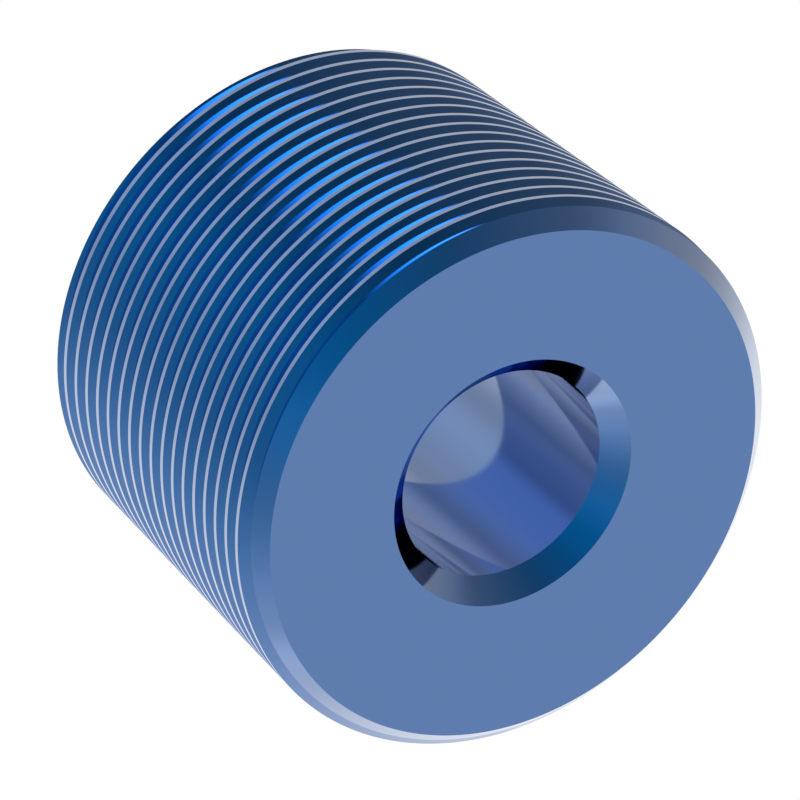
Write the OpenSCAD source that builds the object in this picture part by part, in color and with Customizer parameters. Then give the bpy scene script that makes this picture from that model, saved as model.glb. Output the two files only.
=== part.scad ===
/* [Body] */
// Crest diameter of the thread at the plane of the large face
major_d = 38; // [30:0.5:60]
// Length from the small face to the large face
length = 28.5; // [15:0.5:60]
// Length over which the crest diameter grows by 1: 8 is a taper of 1 in 8
taper_run = 8; // [6:1:40]
// Width of the 45 degree chamfer at the small end
small_chamfer = 1.325; // [0.8:0.025:3]
// How far the chamfer at the large end takes its face in from the crests
large_chamfer_width = 1.4; // [0.8:0.1:3]
// How far the chamfer at the large end reaches along the axis
large_chamfer_height = 1.45; // [0.8:0.05:3]

/* [Bore] */
// Diameter of the through bore
bore_d = 14.3; // [6:0.1:20]
// Width of the 45 degree countersink at each mouth of the bore
countersink = 1.45; // [0.2:0.025:3]

/* [Thread] */
// Rise of the right-hand thread in one turn
pitch = 1.5; // [1:0.25:2]
// Width of the flat on the crest
crest_flat = 0.34; // [0.1:0.02:0.5]
// Width of the flat in the root
root_flat = 0.19; // [0.05:0.01:0.3]
// Angle between the two flanks of a groove
thread_angle = 60; // [50:1:65]
// Height of the lowest crest above the small face on the +X side, in turns
first_crest = 0.78; // [0:0.02:0.98]

/* [Hidden] */

$fn = 96;
// Cutting shapes reach this far past the surfaces that they cut
past = 1;
// The thread's surface is made of at most this many triangles, and a turn of this many sides
most_triangles = 12000;
most_sides = 48;

flank_run = (pitch - crest_flat - root_flat) / 2;
thread_depth = flank_run / tan(thread_angle / 2);
// The groove stands square to the taper, so its root lies a little nearer the large end
root_lean = thread_depth / taper_run / 2;
// Corners of the section along one pitch: distance along the axis and depth below the crest
section = [
    [0, 0],
    [crest_flat, 0],
    [crest_flat + flank_run + root_lean, thread_depth],
    [pitch - flank_run + root_lean, thread_depth]
];
corners = len(section);
turns = ceil(length / pitch) + 3;
rows = corners * turns;
sides = min(most_sides, floor(most_triangles / rows / 2));

// Crest radius of the tapered body at a height above the small face
function crest_r(z) = major_d / 2 - (length - z) / taper_run / 2;

// Height of a row of thread corners, which climbs one pitch in each turn
function row_z(row, angle) =
    pitch * (floor(row / corners) - 2 + first_crest + angle / 360)
    - crest_flat / 2 + section[row % corners][0];

// Corner of the thread where a row passes an angle round the axis
function thread_corner(row, angle) =
    let (z = row_z(row, angle), r = crest_r(z) - section[row % corners][1])
    [r * cos(angle), r * sin(angle), z];

// Place of a corner in the list of points: the last side closes on the first, one turn higher
function place(row, side) =
    side < sides ? side * (rows + corners + 1) + row : row + corners;

// Edge of the surface at one end: once round the axis, then down the step between two turns
function end_edge(row) = concat(
    [for (side = [0:sides - 1]) place(row, side)],
    [for (i = [row + corners:-1:row + 1]) place(i, 0)]
);

// Triangles from an end's edge to a point on the axis
function cap(edge, centre) =
    [for (k = [0:len(edge) - 1]) [centre, edge[k], edge[(k + 1) % len(edge)]]];

// Solid tapered thread, longer than the plug at both ends
module threaded_taper() {
    surface_points = [
        for (side = [0:sides - 1], row = [0:rows + corners])
            thread_corner(row, side * 360 / sides)
    ];
    low_centre = [0, 0, row_z(0, 0)];
    high_centre = [0, 0, row_z(rows + corners, 0)];
    wall = [
        for (side = [0:sides - 1], row = [0:rows - 1]) each [
            [place(row, side), place(row + 1, side + 1), place(row, side + 1)],
            [place(row, side), place(row + 1, side), place(row + 1, side + 1)]
        ]
    ];
    low_cap = cap(end_edge(0), len(surface_points));
    high_cap = [for (t = cap(end_edge(rows), len(surface_points) + 1)) [t[0], t[2], t[1]]];
    polyhedron(concat(surface_points, [low_centre, high_centre]), concat(wall, low_cap, high_cap));
}

// What the two end faces and their chamfers leave standing
module chamfered_ends() {
    small_face_r = crest_r(small_chamfer) - small_chamfer;
    small_reach = small_chamfer + past;
    large_face_r = major_d / 2 - large_chamfer_width;
    large_edge_r = crest_r(length - large_chamfer_height);
    large_slope = (large_edge_r - large_face_r) / large_chamfer_height;
    large_reach = large_chamfer_height + past;
    rotate_extrude() polygon([
        [0, 0],
        [small_face_r, 0],
        [small_face_r + small_reach, small_reach],
        [large_face_r + large_reach * large_slope, length - large_reach],
        [large_face_r, length],
        [0, length]
    ]);
}

// Through bore with a countersink at each mouth
module bore() {
    mouth_r = bore_d / 2 + countersink + past;
    rotate_extrude() polygon([
        [0, -past],
        [mouth_r, -past],
        [bore_d / 2, countersink],
        [bore_d / 2, length - countersink],
        [mouth_r, length + past],
        [0, length + past]
    ]);
}

module plug_body() {
    color("steelblue")
    difference() {
        intersection() {
            threaded_taper();
            chamfered_ends();
        }
        bore();
    }
}

plug_body();
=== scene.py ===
"""Looks of a tapered, threaded plug of blue anodised aluminium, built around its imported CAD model."""

import math

import bmesh
import bpy
import numpy as np
from mathutils import Matrix, Vector


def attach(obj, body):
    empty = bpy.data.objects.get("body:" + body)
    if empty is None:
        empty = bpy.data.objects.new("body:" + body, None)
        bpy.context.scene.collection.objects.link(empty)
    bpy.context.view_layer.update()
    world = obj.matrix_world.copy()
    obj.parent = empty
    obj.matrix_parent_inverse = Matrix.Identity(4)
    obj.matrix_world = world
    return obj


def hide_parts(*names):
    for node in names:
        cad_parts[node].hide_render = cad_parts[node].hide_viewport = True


MM = 0.001

# The plug, in millimetres, in the CAD model's frame: it stands on its small end
MAJOR_R = 19.0
LENGTH = 28.5
TAPER = 1 / 16
# The large end's chamfer takes the face in from the crests by a width and reaches down by a height
LARGE_CHAMFER_WIDTH = 1.4
LARGE_CHAMFER_HEIGHT = 1.45
# The small end's chamfer is at 45 degrees, and so are both countersinks
SMALL_CHAMFER = 1.325
BORE_R = 7.15
COUNTERSINK = 1.45
PITCH = 1.5
CREST_FLAT = 0.34
ROOT_FLAT = 0.19
FLANK_TILT = math.radians(30)
# Height of the lowest crest above the small face on the +X side, in turns
FIRST_CREST = 0.78
# Turns that the thread has below the small face and above the large one, before the ends cut it off
TURNS_BELOW = 2
TURNS_ABOVE = 3

# Mesh: columns of points round the axis, and the angle between two faces that makes their edge sharp
COLUMNS = 480
SHARP_ANGLE = math.radians(20)
# Points this close together, in metres, become one
WELD = 1e-6
# Edges shorter than this, in metres, are taken out
SHORTEST_EDGE = 1e-7
# Added to a difference that something is divided by, because it may be zero
TINY = 1e-12

# Camera: a parallel view, tipped from straight above and rolled in the picture's plane
CAMERA_TILT = math.radians(41.58)
CAMERA_ROLL = math.radians(130.9)
CAMERA_TURN = Matrix.Rotation(CAMERA_TILT, 3, "X") @ Matrix.Rotation(CAMERA_ROLL, 3, "Z")
CAMERA_RIGHT, CAMERA_UP, CAMERA_BACK = CAMERA_TURN.transposed()
# How far the camera stands off and how far it sees, in millimetres
CAMERA_DISTANCE = 300
CAMERA_REACH = 10000
# The view's width, and how far its middle lies right of the large face's middle and above it
VIEW_WIDTH = 50.19
CENTRE_RIGHT = -7.066
CENTRE_UP = 5.2

# Light that is mirrored more often than this in the bore is left out
MIRROR_BOUNCES = 6

# Gloss of the anodised film, from a view square to the surface (0) to a grazing one (1)
GLOSS = {
    0.00: (0.002, 0.147, 0.470),
    0.05: (0.020, 0.162, 0.480),
    0.15: (0.085, 0.218, 0.515),
    0.30: (0.186, 0.308, 0.608),
    0.60: (0.458, 0.537, 0.722),
    0.90: (0.600, 0.660, 0.795),
}
# The film is a little uneven: patches of this size, in millimetres, differ in brightness and roughness
PATCH_SIZE = 4
PATCH_SHADE = 0.02
PATCH_ROUGHNESS = 0.01
# A noise's values lie evenly round this one
NOISE_MIDDLE = 0.5
# Fine marks of the turning tool: their spacing in millimetres and their share of the roughness
MARK_SPACING = 0.15
MARK_ROUGHNESS = 0.01
# The marks follow each other more slowly along the axis than outwards, so that both chamfers have them too
MARK_SLANT = 0.6
ROUGHNESS = 0.06
# The layer weight that falls evenly with the cosine of the angle of view
EVEN_BLEND = 0.5

# Light from all sides
AMBIENT = 0.12
# Soft light panels round the plug, in degrees as the photograph's camera sees them. Azimuth turns from the
# viewer's side to the right of the picture, and elevation rises to its top. For each panel: its middle,
# how far it reaches sideways and upwards, how soft its edges are both ways, and its strength
PANELS = {
    "low right": ((81, -40), (30, 20), (20, 20), 0.55),
    "backdrop": ((192, -43), (56, 55), (26, 13), 0.51),
    "floor": ((0, -90), (180, 38), (1, 15), 0.21),
    "low front left": ((308, -55), (67, 53), (46, 19), 0.465),
    "left wall": ((271, 37), (45, 27), (22, 28), 0.47),
    "top": ((0, 77), (180, 63), (1, 17), 0.16),
    "upper back": ((187, 11), (40, 62), (37, 18), 0.38),
    "front left": ((327, 7), (47, 15), (20, 34), 0.35),
    "right": ((121, -16), (36, 50), (13, 18), 0.18),
    "key": ((354, 68.5), (43, 7.5), (18, 10), 6.3),
    "key, left end": ((328, 56.5), (19, 6), (8, 5), 1.3),
}

# The floor, in millimetres, lies just under the plug
FLOOR_HALF_WIDTH = 2000
FLOOR_GAP = 0.1

WHITE = (1, 1, 1, 1)


def crest_r(z):
    """Radius of the thread's crests at a height."""
    return MAJOR_R - (LENGTH - z) * TAPER


SMALL_FACE_R = crest_r(SMALL_CHAMFER) - SMALL_CHAMFER
LARGE_FACE_R = MAJOR_R - LARGE_CHAMFER_WIDTH
LARGE_SLOPE = (crest_r(LENGTH - LARGE_CHAMFER_HEIGHT) - LARGE_FACE_R) / LARGE_CHAMFER_HEIGHT


def envelope(z):
    """Radius that the two end chamfers leave at a height."""
    return np.minimum(SMALL_FACE_R + z, LARGE_FACE_R + LARGE_SLOPE * (LENGTH - z))


def thread_section():
    """Corners along one pitch: distance along the axis and depth below the crest.

    The groove stands square to the taper, so its root lies nearer the large end than its mouth."""
    flank_run = (PITCH - CREST_FLAT - ROOT_FLAT) / 2
    depth = flank_run / math.tan(FLANK_TILT)
    lean = depth * TAPER
    return [
        (0.0, 0.0),
        (CREST_FLAT, 0.0),
        (CREST_FLAT + flank_run + lean, depth),
        (PITCH - flank_run + lean, depth),
    ]


def thread_corners(angle):
    """Heights and radii of the thread's corners at an angle round the axis, past both ends of the plug."""
    z = []
    r = []
    for turn in range(-TURNS_BELOW, math.ceil(LENGTH / PITCH) + TURNS_ABOVE):
        start = PITCH * (turn + FIRST_CREST + angle / (2 * math.pi)) - CREST_FLAT / 2
        for run, depth in thread_section():
            z.append(start + run)
            r.append(crest_r(start + run) - depth)
    return np.array(z), np.array(r)


def outline(angle):
    """Radius and height of the threaded side's points at an angle round the axis, from the small face up.

    Each corner of the thread gives a point, and so does each line between two corners: where it meets a
    chamfer, or else its middle. Points past a chamfer are laid on it, and those past an end on its edge."""
    z, r = thread_corners(angle)
    room = envelope(z) - r
    here, there = room[:-1], room[1:]
    share = np.where((here > 0) != (there > 0), here / (here - there + TINY), 1 / 2)
    points_z = np.empty(2 * len(z) - 1)
    points_r = np.empty(2 * len(z) - 1)
    points_z[::2] = z
    points_r[::2] = r
    points_z[1::2] = z[:-1] + share * (z[1:] - z[:-1])
    points_r[1::2] = r[:-1] + share * (r[1:] - r[:-1])
    points_z = np.clip(points_z, 0, LENGTH)
    return np.stack([np.minimum(points_r, envelope(points_z)), points_z], axis=1)


def bore_rings():
    """Radius and height of the rings from the large face through the bore to the small face."""
    mouth_r = BORE_R + COUNTERSINK
    return [
        (mouth_r, LENGTH),
        (BORE_R, LENGTH - COUNTERSINK),
        (BORE_R, COUNTERSINK),
        (mouth_r, 0.0),
    ]


def plug_columns():
    """For each angle round the axis, points up the threaded side and back down through the bore."""
    columns = []
    for c in range(COLUMNS):
        angle = 2 * math.pi * c / COLUMNS
        ring = np.vstack([outline(angle), bore_rings()])
        across = ring[:, 0:1] * np.array([[math.cos(angle), math.sin(angle)]])
        columns.append(np.hstack([across, ring[:, 1:2]]))
    return columns


def add_face(bm, *corners):
    """A face, unless its corners lie in fewer than three places."""
    places = {tuple(round(x / WELD) for x in v.co) for v in corners}
    if len(places) > 2:
        bm.faces.new(corners)


def join_columns(bm, verts):
    """Faces between each column and the next, where the last one's next is the first."""
    rows = len(verts[0])
    side_rows = rows - len(bore_rings())
    climb = 2 * len(thread_section())
    for c in range(COLUMNS):
        here, there = verts[c], verts[(c + 1) % COLUMNS]
        if c == COLUMNS - 1:
            for row in range(climb):
                add_face(bm, here[0], there[row], there[row + 1])
            # The thread has climbed one pitch in the turn, up to the large face
            side = [there[min(row + climb, side_rows - 1)] for row in range(side_rows)]
            there = side + there[side_rows:]
        for row in range(rows - 1):
            add_face(bm, here[row], there[row], there[row + 1], here[row + 1])
        add_face(bm, here[-1], there[-1], there[0], here[0])


def plug_mesh(name):
    """One closed mesh: the threaded side, both chamfers, both faces, the bore and its countersinks."""
    bm = bmesh.new()
    verts = [[bm.verts.new(p * MM) for p in column] for column in plug_columns()]
    join_columns(bm, verts)
    bmesh.ops.remove_doubles(bm, verts=bm.verts, dist=WELD)
    bmesh.ops.dissolve_degenerate(bm, edges=bm.edges, dist=SHORTEST_EDGE)
    bmesh.ops.recalc_face_normals(bm, faces=bm.faces)
    open_edges = sum(len(e.link_faces) != 2 for e in bm.edges)
    print("plug mesh:", len(bm.verts), "vertices,", len(bm.faces), "faces,", open_edges, "open edges")
    mesh = bpy.data.meshes.new(name)
    bm.to_mesh(mesh)
    bm.free()
    mesh.polygons.foreach_set("use_smooth", [True] * len(mesh.polygons))
    mesh.set_sharp_from_angle(angle=SHARP_ANGLE)
    return mesh


def add_node(tree, kind, inputs, output=0, **settings):
    """A new node's output. Each input is another node's output or a value."""
    node = tree.nodes.new(kind)
    for name, value in settings.items():
        setattr(node, name, value)
    for socket, value in inputs.items():
        if isinstance(value, bpy.types.NodeSocket):
            tree.links.new(value, node.inputs[socket])
        else:
            node.inputs[socket].default_value = value
    return node.outputs[output]


def maths(tree, operation, *values):
    """Output of a Math node."""
    return add_node(tree, "ShaderNodeMath", dict(enumerate(values)), operation=operation)


def dot(tree, vector, axis):
    """How far a vector reaches along an axis."""
    return add_node(tree, "ShaderNodeVectorMath", {0: vector, 1: axis}, "Value", operation="DOT_PRODUCT")


def film_gloss(tree):
    """Colour of the film's reflections by the angle of view."""
    grazing = add_node(tree, "ShaderNodeLayerWeight", {"Blend": EVEN_BLEND}, "Facing")
    ramp = tree.nodes.new("ShaderNodeValToRGB")
    stops = ramp.color_ramp.elements
    places = list(GLOSS)
    stops[1].position = places[-1]
    for place in places[1:-1]:
        stops.new(place)
    for stop, place in zip(stops, places):
        stop.color = (*GLOSS[place], 1)
    tree.links.new(grazing, ramp.inputs["Fac"])
    return ramp.outputs["Color"]


def tool_marks(tree, position):
    """Waves from -1 to 1 that ring the axis on the faces, chamfers, thread and bore."""
    outwards = add_node(tree, "ShaderNodeVectorMath", {0: position, 1: (1, 1, 0)}, operation="MULTIPLY")
    radius = add_node(tree, "ShaderNodeVectorMath", {0: outwards}, "Value", operation="LENGTH")
    path = maths(tree, "ADD", radius, dot(tree, position, (0, 0, MARK_SLANT)))
    return maths(tree, "SINE", maths(tree, "MULTIPLY", path, 2 * math.pi / (MARK_SPACING * MM)))


def anodised_aluminium():
    """Blue anodised metal, turned smooth, with faint tool marks and a slightly uneven film."""
    mat = bpy.data.materials.new("anodised_aluminium")
    mat.use_nodes = True
    tree = mat.node_tree
    shader = tree.nodes["Principled BSDF"]
    shader.inputs["Metallic"].default_value = 1.0
    position = tree.nodes.new("ShaderNodeTexCoord").outputs["Object"]
    spread = {"Vector": position, "Scale": 1 / (PATCH_SIZE * MM)}
    patches = maths(tree, "SUBTRACT", add_node(tree, "ShaderNodeTexNoise", spread, "Fac"), NOISE_MIDDLE)
    shade = maths(tree, "MULTIPLY_ADD", patches, PATCH_SHADE, 1.0)
    gloss = {0: film_gloss(tree), "Scale": shade}
    colour = add_node(tree, "ShaderNodeVectorMath", gloss, operation="SCALE")
    tree.links.new(colour, shader.inputs["Base Color"])
    roughness = maths(tree, "MULTIPLY_ADD", patches, PATCH_ROUGHNESS, ROUGHNESS)
    roughness = maths(tree, "MULTIPLY_ADD", tool_marks(tree, position), MARK_ROUGHNESS, roughness)
    tree.links.new(roughness, shader.inputs["Roughness"])
    return mat


def soft_edge(tree, distance, reach, softness):
    """1 inside, 0 outside, and a smooth change over the softness to both sides of the edge."""
    ends = {
        "Value": distance,
        "From Min": math.radians(reach - softness),
        "From Max": math.radians(reach + softness),
        "To Min": 1.0,
        "To Max": 0.0,
    }
    return add_node(tree, "ShaderNodeMapRange", ends, interpolation_type="SMOOTHSTEP")


def panel_light(tree, azimuth, elevation, middle, reach, softness):
    """1 in the middle of a panel, 0 outside it and a smooth change at its edges."""
    turned = maths(tree, "SUBTRACT", azimuth, math.radians(middle[0]))
    aside = maths(tree, "ABSOLUTE", maths(tree, "WRAP", turned, math.pi, -math.pi))
    raised = maths(tree, "ABSOLUTE", maths(tree, "SUBTRACT", elevation, math.radians(middle[1])))
    across = soft_edge(tree, aside, reach[0], softness[0])
    upright = soft_edge(tree, raised, reach[1], softness[1])
    return maths(tree, "MULTIPLY", across, upright)


def studio_world():
    """Even grey light from soft panels round the plug. The camera itself sees plain white."""
    world = bpy.data.worlds.new("studio")
    bpy.context.scene.world = world
    world.use_nodes = True
    tree = world.node_tree
    direction = tree.nodes.new("ShaderNodeTexCoord").outputs["Generated"]
    rightwards = dot(tree, direction, CAMERA_RIGHT)
    azimuth = maths(tree, "ARCTAN2", rightwards, dot(tree, direction, CAMERA_BACK))
    elevation = maths(tree, "ARCSINE", dot(tree, direction, CAMERA_UP))
    light = AMBIENT
    for middle, reach, softness, strength in PANELS.values():
        panel = panel_light(tree, azimuth, elevation, middle, reach, softness)
        light = maths(tree, "MULTIPLY_ADD", panel, strength, light)
    studio = add_node(tree, "ShaderNodeBackground", {"Color": WHITE, "Strength": light})
    backdrop = add_node(tree, "ShaderNodeBackground", {"Color": WHITE})
    camera_ray = tree.nodes.new("ShaderNodeLightPath").outputs["Is Camera Ray"]
    shown = add_node(tree, "ShaderNodeMixShader", {"Fac": camera_ray, 1: studio, 2: backdrop})
    tree.links.new(shown, tree.nodes["World Output"].inputs["Surface"])


def pale_floor():
    """A plain white floor just under the plug, lit evenly. It is clear from below."""
    mesh = bpy.data.meshes.new("floor")
    half = FLOOR_HALF_WIDTH * MM
    low = -FLOOR_GAP * MM
    corners = [(-half, -half, low), (half, -half, low), (half, half, low), (-half, half, low)]
    mesh.from_pydata(corners, [], [(0, 1, 2, 3)])
    floor = bpy.data.objects.new("floor", mesh)
    bpy.context.collection.objects.link(floor)
    mat = bpy.data.materials.new("floor")
    mat.use_nodes = True
    tree = mat.node_tree
    glow = add_node(tree, "ShaderNodeEmission", {"Color": WHITE})
    clear = add_node(tree, "ShaderNodeBsdfTransparent", {"Color": WHITE})
    underside = tree.nodes.new("ShaderNodeNewGeometry").outputs["Backfacing"]
    shown = add_node(tree, "ShaderNodeMixShader", {"Fac": underside, 1: glow, 2: clear})
    tree.links.new(shown, tree.nodes["Material Output"].inputs["Surface"])
    mesh.materials.append(mat)
    floor.visible_glossy = False
    floor.visible_diffuse = False
    return floor


def photo_camera():
    """A parallel view at the photograph's angle."""
    data = bpy.data.cameras.new("camera")
    data.type = "ORTHO"
    data.ortho_scale = VIEW_WIDTH * MM
    data.clip_end = CAMERA_REACH * MM
    camera = bpy.data.objects.new("camera", data)
    bpy.context.collection.objects.link(camera)
    centre = Vector((0, 0, LENGTH)) + CENTRE_RIGHT * CAMERA_RIGHT + CENTRE_UP * CAMERA_UP
    eye = centre + CAMERA_DISTANCE * CAMERA_BACK
    camera.matrix_world = Matrix.Translation(eye * MM) @ CAMERA_TURN.to_4x4()
    bpy.context.scene.camera = camera


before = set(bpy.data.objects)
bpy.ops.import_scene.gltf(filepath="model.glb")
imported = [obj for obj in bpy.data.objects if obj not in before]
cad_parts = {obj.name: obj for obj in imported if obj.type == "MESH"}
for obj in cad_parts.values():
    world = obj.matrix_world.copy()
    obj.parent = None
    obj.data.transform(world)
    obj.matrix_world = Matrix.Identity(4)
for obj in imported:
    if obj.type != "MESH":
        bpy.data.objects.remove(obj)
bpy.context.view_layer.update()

body_mesh = plug_mesh("turned_body")
body_mesh.materials.append(anodised_aluminium())
body = bpy.data.objects.new("turned_body", body_mesh)
bpy.context.collection.objects.link(body)
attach(body, "root")
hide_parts("plug_body")

studio_world()
pale_floor()
photo_camera()
scene = bpy.context.scene
scene.view_settings.view_transform = "Standard"
scene.cycles.max_bounces = MIRROR_BOUNCES
scene.cycles.glossy_bounces = MIRROR_BOUNCES
